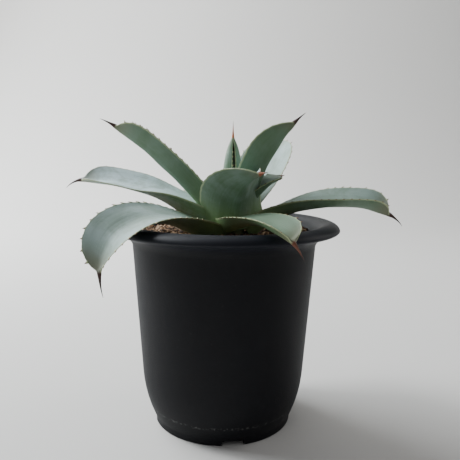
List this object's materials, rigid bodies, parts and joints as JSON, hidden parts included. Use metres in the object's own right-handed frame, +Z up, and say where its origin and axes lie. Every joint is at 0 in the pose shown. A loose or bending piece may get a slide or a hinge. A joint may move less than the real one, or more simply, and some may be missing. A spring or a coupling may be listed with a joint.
{
  "type": "potted agave plant",
  "caption": "Small living agave with broad toothed grey-green leaves and dark end spines, in a tapered black plastic pot with a rolled-over brim.",
  "frame": {"origin": "middle of the whole plant's footprint, on the surface the pot stands on; the pot's axis is at x -2.7 mm, y -7.9 mm", "axes": "+Z up, -Y towards the front of the plant, +X to its right"},
  "size_m": [0.1732, 0.1446, 0.1616],
  "materials": {
    "pot_plastic": "moulded black polypropylene, fine matte grain, smoother on the brim",
    "potting_mix": "loose gritty mix of pumice and bark, dry",
    "stem_tissue": "pale fleshy stem, brown at the roots",
    "leaf_skin": "waxy grey-green bloom over firm flesh, paler on the upper face, thin horny margin"
  },
  "bodies": {
    "root": {"pot": "pot_plastic", "potting_mix": "potting_mix", "stem": "stem_tissue", "leaf_core": "leaf_skin", "leaf_upper_right": "leaf_skin", "leaf_front_centre": "leaf_skin", "leaf_upper_left": "leaf_skin", "leaf_back_right": "leaf_skin", "leaf_inner_right": "leaf_skin", "leaf_left": "leaf_skin", "leaf_right": "leaf_skin", "leaf_front_right": "leaf_skin", "leaf_front_left": "leaf_skin", "leaf_back": "leaf_skin", "leaf_back_left": "leaf_skin"}
  },
  "joints": []
}
